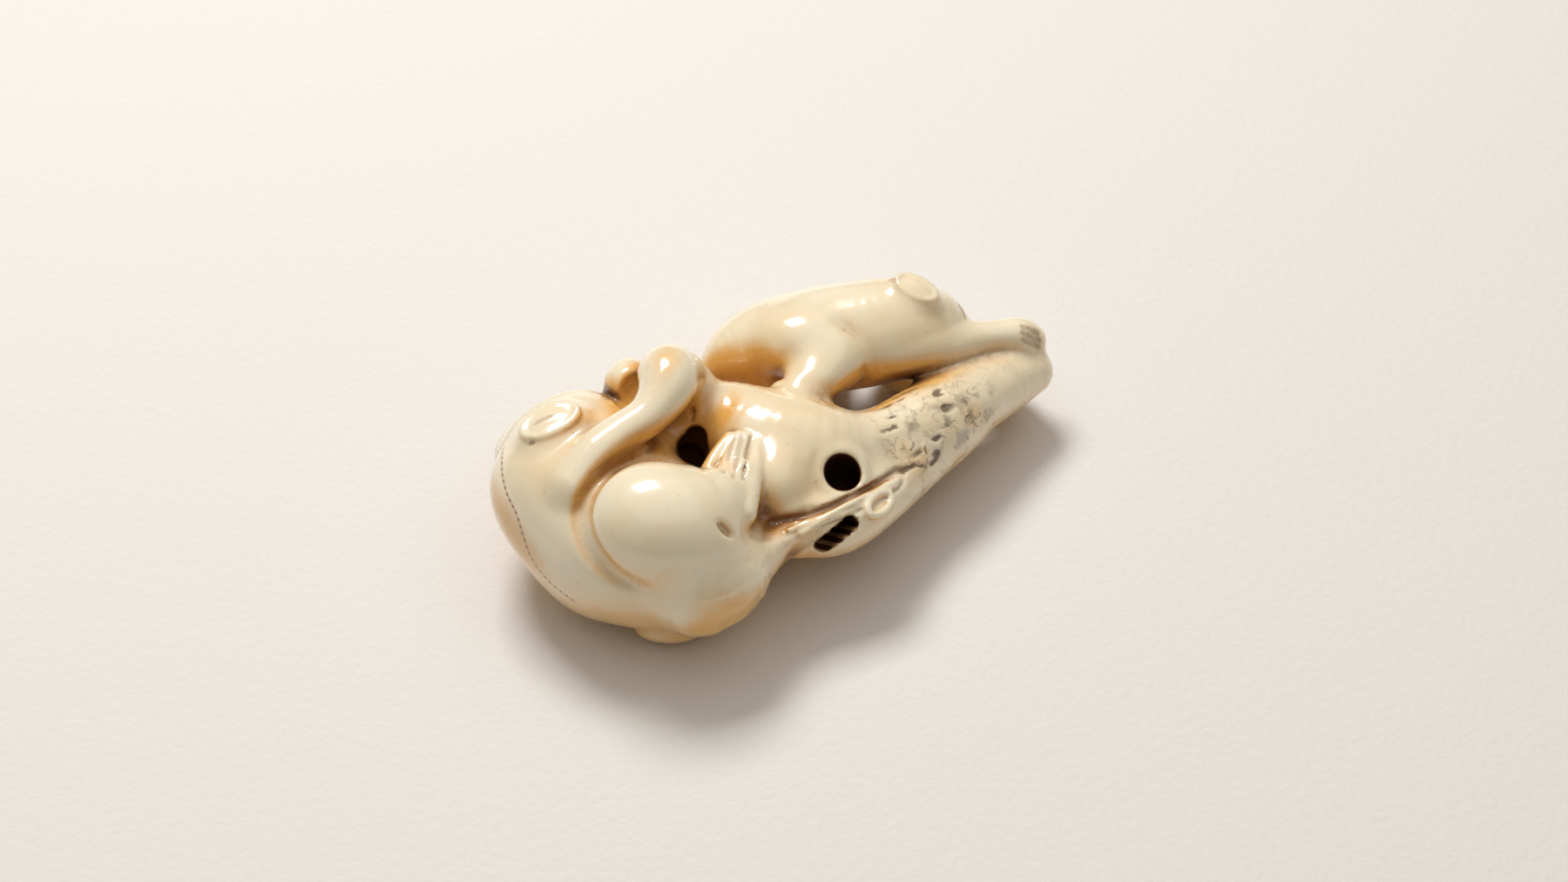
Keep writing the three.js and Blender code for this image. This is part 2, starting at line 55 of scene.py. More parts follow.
# The layout of the carving: its own length in parts, and the place it is seen from. It is laid out as it
# shows from the side with the two cord holes: u runs right and v up on a picture of it, z is the height
# above the table and r a radius, all in parts.
LAYOUT_LENGTH = 69.4
SCALE = LENGTH / LAYOUT_LENGTH
SIGHT_AZIMUTH = math.radians(-26)
SIGHT_ELEVATION = math.radians(50)
SIGHT_DISTANCE = 300.0
SIGHT_MIDDLE = np.array([2.15, 1.0, 13.5])

# The field: its box, and its value where nothing is near
FIELD_LOW = np.array([-34.0, -20.0, -3.0])
FIELD_HIGH = np.array([40.5, 25.5, 30.0])
NOTHING_NEAR = 60.0
# Its fine grid for the skin and its coarse one for broad shade: the step, and how far off a form still counts
GRID_STEP = 0.36
REACH = 2.0
FAR_STEP = 0.9
FAR_REACH = 7.0
# Grid points along each side of a block that is worked out at once
BLOCK = 16
# How far in front of the middle of the layout a search along a line of sight starts
SEARCH_LEAD = 40
# The furthest that a corner of the skin is moved to settle on the field
MOST_SETTLING = 0.2
# What keeps a divisor from being zero
TINY = 1e-9

# Heights above the skin at which shade is felt, and the share of the creases in what shows as hollow
CREASE_HEIGHTS = [0.5]
HOLLOW_HEIGHTS = [1.2, 2.8]
FOLD_HEIGHTS = [5.5]
CREASE_SHARE = 0.25
# How much more painted shade and glow, in amber, there is on what faces down than on what faces up
UNDERSIDE_SHADE = 0.65

# Bark: its middle as u, v, and its reach along and across the branch
BARK_MIDDLE = (15.5, 1.0)
BARK_HALF_LENGTH = 9.0
BARK_HALF_WIDTH = 5.0
# Where along the branch it starts, measured from the middle of the layout
BARK_START = 6.0
# The depth of its pits and the height of its swells
BARK_PIT_DEPTH = 0.3
BARK_SWELL = 0.12
# How many sines make up a pattern of waves
WAVE_COUNT = 12

TOWARD = np.array([
    math.sin(SIGHT_AZIMUTH) * math.cos(SIGHT_ELEVATION),
    -math.cos(SIGHT_AZIMUTH) * math.cos(SIGHT_ELEVATION),
    math.sin(SIGHT_ELEVATION),
])
RIGHT = np.array([math.cos(SIGHT_AZIMUTH), math.sin(SIGHT_AZIMUTH), 0.0])
UP = np.cross(TOWARD, RIGHT)
EYE_POINT = SIGHT_MIDDLE + SIGHT_DISTANCE * TOWARD

# Limbs and trunks that show: rows of u, v, z, r along the middle of each
BRANCH = [
    (-10.0, 3.4, 15.0, 3.6), (-6.0, 1.9, 15.0, 4.9), (-1.5, -0.4, 14.5, 6.3), (3.0, -1.4, 14.0, 6.1),
    (7.5, -1.2, 13.0, 4.7), (11.5, -0.2, 12.0, 4.3), (16.0, 1.7, 11.0, 4.8), (20.5, 4.4, 10.0, 4.6),
    (25.0, 6.8, 9.0, 3.9), (28.0, 8.0, 8.5, 3.0),
]
BRANCH_UNDERSIDE = [
    (1.8, -9.7, 12.0, 3.7), (6.0, -8.7, 11.5, 4.3), (10.5, -6.0, 10.5, 3.9), (15.5, -2.3, 9.5, 3.2),
    (20.0, 1.5, 9.0, 2.5),
]
LARGE_ARM = [
    (-24.0, -5.0, 20.0, 3.0), (-21.4, -1.4, 21.9, 2.6), (-18.9, 0.7, 22.6, 2.3), (-15.9, 2.7, 23.2, 2.3),
    (-14.2, 4.7, 23.7, 2.7), (-13.3, 6.7, 24.0, 3.3), (-13.1, 7.6, 23.5, 3.5), (-11.5, 7.0, 21.0, 3.0),
    (-9.0, 4.5, 18.0, 2.6),
]
LARGE_SHIN = [(-8.8, -7.6, 18.0, 4.4), (-5.8, -6.0, 18.2, 2.6), (-5.0, -3.9, 18.8, 2.0)]
LARGE_TOES = [
    [(-8.7, -3.6, 18.6, 1.0), (-7.6, -1.4, 19.3, 0.8), (-6.3, 0.4, 19.5, 0.7)],
    [(-7.0, -4.4, 19.0, 1.1), (-6.2, -2.0, 19.6, 0.85), (-5.3, 0.5, 19.6, 0.7)],
    [(-5.9, -4.6, 19.1, 1.1), (-5.2, -2.2, 19.6, 0.85), (-4.3, 0.4, 19.5, 0.7)],
    [(-4.7, -8.2, 18.2, 1.6), (-3.9, -5.4, 18.8, 1.3), (-3.3, -2.6, 19.2, 1.0), (-3.1, 0.0, 19.1, 0.8)],
]
LARGE_HIND_LEG = [(-9.6, -16.6, 11.6, 5.0), (-5.2, -14.9, 12.2, 3.0), (-2.2, -12.8, 12.8, 2.2)]
LARGE_HIND_FOOT = [
    (-5.2, -14.9, 12.2, 3.0), (-2.2, -12.8, 12.8, 2.2), (0.5, -10.9, 13.6, 1.7), (3.5, -9.4, 14.2, 1.35),
    (7.0, -8.0, 13.4, 1.0), (9.5, -6.9, 12.4, 0.8),
]
SMALL_TRUNK = [
    (-8.0, 8.2, 12.5, 2.0), (-5.0, 10.0, 13.8, 4.0), (-1.5, 11.0, 14.5, 5.3), (3.1, 11.5, 15.0, 6.2),
    (8.1, 12.2, 15.3, 6.4), (12.6, 13.3, 16.0, 5.6), (16.0, 14.2, 16.5, 3.9), (18.2, 14.4, 16.4, 2.4),
    (19.1, 14.3, 16.2, 1.7),
]
SMALL_FORELEG = [
    (10.8, 10.6, 15.6, 3.6), (15.0, 10.6, 15.3, 3.2), (18.3, 11.0, 14.8, 2.7), (21.6, 11.7, 14.2, 2.1),
    (24.6, 12.1, 13.6, 1.9), (27.0, 12.2, 13.0, 2.1), (28.4, 11.8, 12.0, 1.7),
]
SMALL_SHIN = [(5.6, 9.0, 17.2, 3.1), (3.8, 7.2, 17.3, 2.9), (1.9, 5.6, 17.0, 2.6), (0.8, 4.6, 16.4, 2.2)]
SMALL_HIND_FOOT = [
    (-0.2, 5.5, 17.2, 1.6), (2.5, 4.3, 17.6, 1.3), (5.0, 2.9, 17.4, 1.1), (6.7, 1.9, 16.6, 0.7),
]
# Details laid on the skin, as rows of u, v, r or as u, v
HIND_FOOT_RIBBONS = [
    [(0.5, -10.2, 0.5), (4.1, -9.0, 0.6), (7.9, -7.1, 0.65), (11.1, -5.4, 0.65), (13.2, -4.4, 0.6)],
    [(2.0, -10.6, 0.6), (4.6, -9.3, 0.5), (8.0, -7.8, 0.5), (10.6, -6.3, 0.55), (13.0, -5.0, 0.5)],
]
CURLED_TOE = (10.9, -7.2)
SHIN_NOTCH = (-6.6, -10.2)
CORD_HOLE = (6.7, -3.7)
CORD_SLOT = (6.05, -10.9)
SEEN_EYES = [(-26.7, 1.85), (15.1, 17.3)]
PIT = [(-10.1, 0.5, 1.15), (-10.5, -0.8, 1.7), (-10.9, -2.0, 1.75)]
PIT_DEPTH = 3.2
FINE_GROOVES = [
    [
        (-1.6, -9.3, 0.3), (3.0, -8.4, 0.35), (8.0, -6.2, 0.35), (11.0, -4.6, 0.35), (13.0, -3.3, 0.3),
        (13.9, -3.5, 0.3),
    ],
    [(-28.6, 2.0, 0.12), (-27.8, 2.5, 0.2), (-26.6, 3.0, 0.12)],
    [(-29.2, -0.4, 0.12), (-28.8, -0.1, 0.18)],
    [(12.2, 18.6, 0.2), (12.6, 18.4, 0.2)],
    [(27.2, 13.2, 0.15), (28.3, 12.8, 0.25), (29.2, 12.3, 0.25)],
    [(27.3, 12.4, 0.15), (28.4, 12.0, 0.25), (29.4, 11.5, 0.25)],
    [(27.4, 11.6, 0.15), (28.4, 11.2, 0.25), (29.3, 10.8, 0.25)],
    [(-10.5, 4.9, 0.15), (-10.4, 3.6, 0.22), (-10.5, 2.4, 0.2)],
    [(20.1, 15.6, 0.15), (20.6, 14.8, 0.2), (20.8, 14.0, 0.15)],
    [(-7.0, -3.6, 0.15), (-6.4, -1.6, 0.2), (-5.8, 0.5, 0.18)],
    [(-5.9, -4.2, 0.15), (-5.4, -1.8, 0.2), (-4.8, 0.5, 0.18)],
    [(-4.7, -4.4, 0.15), (-4.3, -1.8, 0.22), (-3.8, 0.4, 0.2)],
]
# Limbs out of sight, as x, y, z, r
SMALL_FAR_FORELEG = [(20, 13, 11, 4.4), (25, 12.5, 4.0, 3.9), (30.5, 8.5, 3.8, 3.2), (34.0, 4.0, 5.6, 2.8)]
SMALL_FAR_HIND_LEG = [
    (7, 14, 10, 5.0), (14, 18, 4.5, 4.4), (8, 15, 3.9, 3.4), (3.5, 9.5, 5.4, 3.0), (1, 5, 8, 2.8),
]
LARGE_FAR_ARM = [(-19, 11, 16, 3.8), (-13.5, 13, 11, 3.5), (-7.5, 9, 9, 3.1), (-3.5, 4, 8.6, 2.9)]
LARGE_FAR_HIND_FOOT = [(-13, -8, 5.0, 4.4), (-6, -6, 4.8, 3.7), (0, -4.5, 5.8, 3.0), (6, -3, 7.2, 2.4)]
# Out behind each far eye, from where the skin is looked for straight toward the seen side, as x, y, z
FAR_EYE_STARTS = [(-25, 32, 14), (24, 32, 12)]
# The mouth line as u, v
MOUTH_LINE = [
    (-32.2, -0.7), (-32.4, -2.3), (-32.4, -3.4), (-32.2, -4.6), (-31.8, -6.1), (-30.7, -8.4), (-29.9, -11.0),
    (-29.1, -13.2), (-28.4, -14.4), (-27.6, -15.4), (-26.9, -16.2), (-26.1, -16.9), (-24.9, -17.8),
    (-23.9, -18.5),
]


def unit(vector):
    """A vector's direction, at length one."""
    return np.asarray(vector, float) / np.linalg.norm(vector)


def sight_ray(u, v):
    """The line of sight through u, v: straight ahead, plus u across and v up over the viewing distance."""
    return -TOWARD + u / SIGHT_DISTANCE * RIGHT + v / SIGHT_DISTANCE * UP


def seen(u, v, z):
    """The point at height z on the line of sight through u, v."""
    ray = sight_ray(u, v)
    return EYE_POINT + ray * (z - EYE_POINT[2]) / ray[2]


def turned(degrees):
    """Axes across, up and toward the viewer, turned anticlockwise in the picture by some degrees."""
    angle = math.radians(degrees)
    across = math.cos(angle) * RIGHT + math.sin(angle) * UP
    return np.stack([across, np.cross(TOWARD, across), TOWARD])


def skin_axes(outward, along):
    """Axes of a patch of skin: along it, across it and out of it."""
    first = unit(along - outward * np.dot(along, outward))
    return np.stack([first, np.cross(outward, first), outward])


def rise(values, start, end):
    """0 up to the start, 1 from the end on, straight between. It falls where the end is below the start."""
    return np.clip((values - start) / (end - start), 0, 1)


def across_layout(du, dv):
    """A step of du across and dv up on the picture."""
    return du * RIGHT + dv * UP


class Form:
    """A solid given by a function for its signed distance, below zero inside, and by the box it lies in."""

    def __init__(self, distance, points, margin):
        self.distance = distance
        self.low = np.min(points, axis=0) - margin
        self.high = np.max(points, axis=0) + margin


def ball(centre, radii, axes):
    """An ellipsoid. With k the length of p over the radii and m that of p over the radii squared, its
    distance is about k times (k - 1) over m."""
    radii = np.array(radii, float)
    turn = axes.T

    def distance(points):
        local = (points - centre) @ turn
        size = np.linalg.norm(local / radii, axis=1)
        slope = np.linalg.norm(local / radii ** 2, axis=1)
        return size * (size - 1) / np.maximum(slope, TINY)

    return Form(distance, [centre], radii.max())


def smooth_row(rows, spans=4):
    """Rows of numbers followed by a Catmull-Rom curve: each span between two rows is a cubic through both,
    whose slope at a row is half the step between the rows on its two sides."""
    rows = np.array(rows, float)
    rows = np.vstack([2 * rows[0] - rows[1], rows, 2 * rows[-1] - rows[-2]])
    before, start, end, after = rows[:-3], rows[1:-2], rows[2:-1], rows[3:]
    t = (np.arange(spans) / spans)[None, :, None]
    before, start, end, after = (part[:, None, :] for part in (before, start, end, after))
    curve = 0.5 * (2 * start + (end - before) * t + (2 * before - 5 * start + 4 * end - after) * t ** 2
                   + (3 * start - before - 3 * end + after) * t ** 3)
    return np.vstack([curve.reshape(-1, rows.shape[1]), rows[-2:-1]])


def limb(rows):
    """A round tube along a smooth path of x, y, z, r: the distance to each short straight piece of the
    path, less the radius at the nearest place on it, and the least of these over the pieces."""
    path = smooth_row(rows)
    starts, runs = path[:-1, :3], np.diff(path[:, :3], axis=0)
    widths, growths = path[:-1, 3], np.diff(path[:, 3])
    lengths_squared = (runs ** 2).sum(axis=1)

    def distance(points):
        ahead = points @ runs.T - (starts * runs).sum(axis=1)
        to_start = (points ** 2).sum(axis=1)[:, None] - 2 * points @ starts.T + (starts ** 2).sum(axis=1)
        t = np.clip(ahead / lengths_squared, 0, 1)
        to_piece = np.sqrt(np.maximum(to_start - t * (2 * ahead - t * lengths_squared), 0))
        return (to_piece - widths - t * growths).min(axis=1)

    return Form(distance, path[:, :3], path[:, 3].max())


def seen_limb(rows):
    """A tube through rows of u, v, z, r."""
    return limb([(*seen(u, v, z), r) for u, v, z, r in rows])


def seen_ball(u, v, z, radii, turn=0):
    """An ellipsoid at u, v, z, with its radii across, up and toward the viewer, turned in the picture."""
    return ball(seen(u, v, z), radii, turned(turn))


def bead(centre, axes, half_length, half_width, thickness):
    """An oval bead lying on the skin: a ring of round section whose middle line is an ellipse."""
    halves = np.array([half_length, half_width])

    def distance(points):
        local = (points - centre) @ axes.T
        flat = local[:, :2]
        size = np.linalg.norm(flat / halves, axis=1)
        slope = np.linalg.norm(flat / halves ** 2, axis=1)
        return np.hypot(size * (size - 1) / np.maximum(slope, TINY), local[:, 2]) - thickness

    return Form(distance, [centre], half_length + thickness)


def blended(a, b, k):
    """The lower of two fields, with the corner between them rounded over a width k."""
    share = np.clip(0.5 + 0.5 * (b - a) / k, 0, 1)
    return b * (1 - share) + a * share - k * share * (1 - share)


# The steps of the carving in order
carving = []


def join(form, blend, groove=0.0, groove_width=0.5, groove_part=None, kind=None):
    """A form is joined on, its corner rounded over the blend. A groove of some depth and width can follow
    the join, over the part of it that a function of the points says."""
    carving.append({
        "form": form, "blend": blend, "joins": True, "kind": kind, "groove": groove,
        "groove_width": groove_width, "groove_part": groove_part,
    })


def cut(form, blend, kind=None):
    """A form is cut out, its edge rounded over the blend."""
    carving.append({"form": form, "blend": blend, "joins": False, "kind": kind})


def gap_to(kind, points):
    """How far points are from the nearest of the forms of one kind."""
    return np.min([step["form"].distance(points) for step in carving if step["kind"] == kind], axis=0)


def field_near(points, reach=REACH):
    """The field at points that lie close together. Forms too far off only give how far off they are."""
    low, high = points.min(axis=0), points.max(axis=0)
    field = np.full(len(points), NOTHING_NEAR)
    for step in carving:
        form = step["form"]
        apart = np.linalg.norm(np.maximum(np.maximum(form.low - high, low - form.high), 0))
        if apart > reach + 0.3 * step["blend"]:
            if step["joins"]:
                field = np.minimum(field, apart)
            continue
        own = form.distance(points)
        if not step["joins"]:
            field = -blended(-field, own, step["blend"])
            continue
        along = 0.0
        if step["groove"]:
            along = step["groove"] * np.exp(-(own ** 2 + field ** 2) / step["groove_width"] ** 2)
            if step["groove_part"]:
                along = along * step["groove_part"](points)
        field = blended(field, own, step["blend"]) + along
    return field


def field_at(points, room=2.5, most_rooms=1000):
    """The field at any points: they are sorted into rooms of a few parts, each worked out at once."""
    rooms = np.floor((points - FIELD_LOW) / room).astype(int)
    keys = rooms @ np.array([1, most_rooms, most_rooms ** 2])
    order = np.argsort(keys, kind="stable")
    starts = np.flatnonzero(np.diff(keys[order])) + 1
    field = np.empty(len(points))
    for group in np.split(order, starts):
        field[group] = field_near(points[group])
    return field


SLOPE_SIGNS = np.array([(1, 1, 1), (1, -1, -1), (-1, 1, -1), (-1, -1, 1)])


def field_slope(points, step=0.06):
    """The direction in which the field grows fastest: the sum of four corner directions of a cube, each
    times the field a little way along it."""
    slope = sum(signs * field_at(points + step * signs)[:, None] for signs in SLOPE_SIGNS)
    return slope / np.maximum(np.linalg.norm(slope, axis=1, keepdims=True), TINY)


def skin_met(starts, rays, most_steps=90, step_share=0.75, near_enough=0.005):
    """The first skin met from each start along its ray, and its outward direction. Each step goes a share of
    the field's own value."""
    points = np.array(starts, float)
    rays = rays / np.linalg.norm(rays, axis=1, keepdims=True)
    for _ in range(most_steps):
        gap = field_at(points)
        if gap.max() < near_enough:
            break
        points += np.maximum(step_share * gap, 0.0)[:, None] * rays
    return points, field_slope(points)


def on_skin(places):
    """The skin on the lines of sight through rows of u, v, and its outward directions."""
    rays = np.array([sight_ray(u, v) for u, v in places])
    rays = rays / np.linalg.norm(rays, axis=1, keepdims=True)
    return skin_met(EYE_POINT + (SIGHT_DISTANCE - SEARCH_LEAD) * rays, rays)


def skin_limb(rows, sink):
    """A tube laid along the skin through rows of u, v, r, its middle sunk below the skin by a share of r."""
    points, outwards = on_skin([(u, v) for u, v, _ in rows])
    radii = [r for _, _, r in rows]
    return limb([(*(point - sink * r * outward), r) for point, outward, r in zip(points, outwards, radii)])


def bore(mouth, end, radius):
    """A round bore from well outside its mouth, straight in along the sight line, and on to its end."""
    return limb([(*(mouth + 3 * TOWARD), radius), (*mouth, radius), (*end, radius)])


def eye(point, outward, along, size):
    """An eye: a low mound, a bead round it and a narrow dome inside, all in shares of the eye's size."""
    axes = skin_axes(outward, along)
    join(ball(point - 0.16 * size * outward, [size, 0.62 * size, 0.5 * size], axes), 0.5 * size)
    join(bead(point + 0.19 * size * outward, axes, 0.84 * size, 0.46 * size, 0.11 * size), 0.1 * size)
    join(ball(point + 0.08 * size * outward, [0.56 * size, 0.25 * size, 0.28 * size], axes), 0.06 * size)


# The branch
join(seen_limb(BRANCH), 1.0, kind="branch")
join(seen_limb(BRANCH_UNDERSIDE), 2.5, kind="branch")
join(seen_ball(-1.2, -4.8, 15.2, [4.2, 4.6, 4.4]), 2.0)

# The large frog: trunk, head, shoulders, rump and the folded legs
join(seen_ball(-18.4, -10.4, 11, [11.2, 10.4, 11.0]), 1.2, 0.6, 0.8)
join(seen_ball(-25.8, -5.2, 13.5, [7.8, 8.0, 8.4], -20), 4.5)
join(seen_ball(-26.4, 1.4, 17.5, [4.2, 3.0, 4.2], 28), 2.5)
join(seen_ball(-20.8, -1.8, 14, [7.0, 6.6, 7.5]), 4.0)
join(seen_ball(-12.5, 0.5, 12.5, [6.2, 6.2, 5.0]), 3.0)
join(seen_ball(-11.0, -14.4, 9, [8.0, 7.6, 8.0]), 4.0)
join(seen_ball(-13.1, -20.9, 3.6, [4.4, 2.3, 4.0]), 0.5, 0.25, 0.5)
join(seen_ball(-17.8, 6.2, 18, [2.9, 3.4, 3.4]), 0.8, 0.3, 0.6)
cut(seen_ball(-17.0, 5.5, 20.6, [2.2, 3.0, 2.0], -20), 0.5)
join(seen_limb(LARGE_ARM), 1.4)
# The groove round the knee fades out toward the side where the knee runs on into the shin
knee_middle = seen(-14.3, -9.5, 18.2)
knee_open = unit(across_layout(1, -0.55))
join(ball(knee_middle, [8.6, 6.9, 6.3], turned(-8)), 0.8, 1.0, 0.9,
     lambda points: rise((points - knee_middle) @ knee_open, 3, -3))
join(seen_ball(-10.0, -13.0, 13.4, [7.2, 5.4, 5.6], -30), 4.0)
join(seen_limb(LARGE_SHIN), 2.0, 0.2, 0.5)
for toe in LARGE_TOES:
    join(seen_limb(toe), 0.35)
join(seen_limb(LARGE_HIND_LEG), 3.0)
join(seen_limb(LARGE_HIND_FOOT), 0.8, 0.5, 0.6)
join(limb(LARGE_FAR_ARM), 2.0, 0.3, 0.5)
join(ball(np.array([-14.5, -5, 5.2]), [7.6, 6.4, 5.1], turned(0)), 0.8, 0.6, 0.8)
join(limb(LARGE_FAR_HIND_FOOT), 2.0, 0.3, 0.5)

# The small frog
join(seen_limb(SMALL_TRUNK), 1.0, 0.4, 0.6)
join(seen_limb(SMALL_FORELEG), 2.0, 0.25, 0.5)
# The groove round the thigh is there toward its lower right side only
thigh_middle = seen(3.0, 10.7, 17.2)
thigh_open = unit(across_layout(0.8, -0.6))
join(ball(thigh_middle, [6.6, 4.7, 4.4], turned(-15)), 1.6, 0.5, 0.7,
     lambda points: rise((points - thigh_middle) @ thigh_open, -2, 2))
join(seen_limb(SMALL_SHIN), 2.0)
join(seen_limb(SMALL_HIND_FOOT), 0.6, 0.2, 0.4)
join(limb(SMALL_FAR_FORELEG), 2.0, 0.3, 0.5)
join(limb(SMALL_FAR_HIND_LEG), 2.0, 0.3, 0.5)

# The pit between arm, knee and branch, wider at its foot
for u, v, radius in PIT:
    (pit_mouth,), _ = on_skin([(u, v)])
    cut(bore(pit_mouth, pit_mouth - PIT_DEPTH * TOWARD, radius), 0.5, kind="pit")

# A rough notch where the knee meets the shin
(notch_point,), (notch_outward,) = on_skin([SHIN_NOTCH])
cut(ball(notch_point, [1.5, 0.5, 0.8], skin_axes(notch_outward, across_layout(1.0, -0.5))), 0.4)

# Ribbons of the large hind foot on the branch, and the curled toe at their end
for rows in HIND_FOOT_RIBBONS:
    join(skin_limb(rows, 0.35), 0.25, 0.25, 0.35)
(curl_point,), (curl_outward,) = on_skin([CURLED_TOE])
join(bead(curl_point, skin_axes(curl_outward, across_layout(0.8, 0.6)), 2.0, 1.0, 0.5), 0.3)

# The two cord openings, which meet inside, with a low lip round the round one
(hole_mouth, slot_mouth), (hole_outward, _) = on_skin([CORD_HOLE, CORD_SLOT])
meeting = (hole_mouth + slot_mouth) / 2 - CORD_HOLE_DEPTH / SCALE * TOWARD
hole_radius = CORD_HOLE_DIAMETER / SCALE / 2
slot_radius = CORD_SLOT_WIDTH / SCALE / 2
slot_run = unit(across_layout(4.5, 3.5))
lip_axes = skin_axes(hole_outward, RIGHT)
lip_radius = hole_radius + 0.5
join(bead(hole_mouth - 0.45 * hole_outward, lip_axes, lip_radius, lip_radius, 0.8), 0.9)
cut(bore(hole_mouth, meeting, hole_radius), 0.3, kind="cord hole")
for from_middle in np.linspace(-1, 1, 5) * (CORD_SLOT_LENGTH - CORD_SLOT_WIDTH) / SCALE / 2:
    cut(bore(slot_mouth + from_middle * slot_run, meeting, slot_radius), 0.15, kind="cord slot")

# The eyes that show, and the two on the far side
eye_points, eye_outwards = on_skin(SEEN_EYES)
eye(eye_points[0], eye_outwards[0], across_layout(6.6, 3.7), 3.9)
eye(eye_points[1], unit(eye_outwards[1] + 0.45 * TOWARD), across_layout(5.3, -2.9), 3.0)
far_points, far_outwards = skin_met(FAR_EYE_STARTS, np.array([(0, -1.0, 0), (0, -1.0, 0)]))
eye(far_points[0], far_outwards[0], np.array([1, 0, 0.3]), 3.6)
eye(far_points[1], far_outwards[1], np.array([1, 0, -0.2]), 2.8)

# Fine grooves: along the large hind foot, between toes, over the pit, in the eyes and at the small mouth
for rows in FINE_GROOVES:
    cut(skin_limb(rows, 0.1), 0.15, kind="fine groove")


def sample_field(step, reach):
    """The field on a regular grid. Blocks that the skin can't reach keep the value at their middle."""
    counts = np.ceil((FIELD_HIGH - FIELD_LOW) / step).astype(int) + 1
    values = np.empty(counts, np.float32)
    lines = [FIELD_LOW[axis] + step * np.arange(counts[axis]) for axis in range(3)]
    half_diagonal = 0.5 * math.sqrt(3) * BLOCK * step
    for first in np.ndindex(*[-(-count // BLOCK) for count in counts]):
        cut_out = tuple(slice(BLOCK * n, BLOCK * n + BLOCK) for n in first)
        block = [line[part] for line, part in zip(lines, cut_out)]
        middle = np.array([[0.5 * (line[0] + line[-1]) for line in block]])
        at_middle = field_near(middle)[0]
        if abs(at_middle) > 1.5 * half_diagonal + reach:
            values[cut_out] = at_middle
            continue
        points = np.stack(np.meshgrid(*block, indexing="ij"), axis=-1)
        values[cut_out] = field_near(points.reshape(-1, 3), reach).reshape(points.shape[:3])
    return values


def read_grid(values, step, points):
    """The field at any points, mixed from the eight grid corners round each by how near each one is."""
    place = (points - FIELD_LOW) / step
    cell = np.clip(np.floor(place).astype(int), 0, np.array(values.shape) - 2)
    share = np.clip(place - cell, 0, 1)
    total = np.zeros(len(points))
    for corner in np.ndindex(2, 2, 2):
        weight = np.where(corner, share, 1 - share).prod(axis=1)
        total += weight * values[tuple((cell + corner).T)]
    return total


def skin_net(values, spacing):
    """Corners and four-sided faces of the skin. Each grid cell that the skin crosses gets one corner, the
    mean of the places where its edges are crossed, and each crossed grid edge joins the corners of the four
    cells round it."""
    inside = values < 0
    corner_steps = list(np.ndindex(2, 2, 2))
    shape = np.array(values.shape) - 1
    count = np.zeros(shape, np.int8)
    for step in corner_steps:
        window = tuple(slice(s, s + n) for s, n in zip(step, shape))
        count += inside[window]
    cells = np.argwhere((count > 0) & (count < 8))
    number = np.full(shape, -1)
    number[tuple(cells.T)] = np.arange(len(cells))
    total = np.zeros((len(cells), 3))
    crossings = np.zeros(len(cells))
    for step in corner_steps:
        for axis in range(3):
            if step[axis]:
                continue
            start = cells + step
            end = start + np.eye(3, dtype=int)[axis]
            at_start, at_end = values[tuple(start.T)], values[tuple(end.T)]
            crossed = (at_start < 0) != (at_end < 0)
            share = np.where(crossed, at_start / np.where(crossed, at_start - at_end, 1), 0)
            total += np.where(crossed[:, None], start + share[:, None] * np.eye(3)[axis], 0)
            crossings += crossed
    corners = FIELD_LOW + spacing * total / crossings[:, None]
    faces = []
    for axis in range(3):
        lower = tuple(slice(0, n - 1) if a == axis else slice(1, n - 1) for a, n in enumerate(values.shape))
        upper = tuple(slice(1, n) if a == axis else slice(1, n - 1) for a, n in enumerate(values.shape))
        flips = inside[lower] != inside[upper]
        edge = np.argwhere(flips) + [0 if a == axis else 1 for a in range(3)]
        leaving = inside[lower][flips]
        first, second = np.eye(3, dtype=int)[(axis + 1) % 3], np.eye(3, dtype=int)[(axis + 2) % 3]
        around = [edge, edge - first, edge - first - second, edge - second]
        quads = np.stack([number[tuple(cell.T)] for cell in around], axis=1)
        quads[~leaving] = quads[~leaving][:, ::-1]
        faces.append(quads)
    return corners, np.vstack(faces)


def grid_slope(values, step, points):
    """The direction in which the field grows fastest, from its differences over a grid step each way."""
    steps = step * np.eye(3)
    slope = [read_grid(values, step, points + way) - read_grid(values, step, points - way) for way in steps]
    slope = np.stack(slope, axis=1)
    return slope / np.maximum(np.linalg.norm(slope, axis=1, keepdims=True), TINY)


def shade(values, step, points, outwards, heights):
    """How enclosed each point is, 0 to 1: the field is read at some heights above the skin, and the shares
    by which it falls short of those heights are averaged."""
    short = [1 - read_grid(values, step, points + height * outwards) / height for height in heights]
    return np.mean(np.clip(short, 0, 1), axis=0)


def waves(points, size, seed):
    """A smooth uneven pattern from about -1 to 1: sines along some seeded directions, with lengths near a
    size, added up."""
    random = np.random.default_rng(seed)
    total = np.zeros(len(points))
    for _ in range(WAVE_COUNT):
        direction = unit(random.normal(size=3)) * 2 * math.pi / (size * random.uniform(0.7, 1.4))
        total += np.sin(points @ direction + random.uniform(0, 2 * math.pi))
    return total / WAVE_COUNT ** 0.5 / 1.5


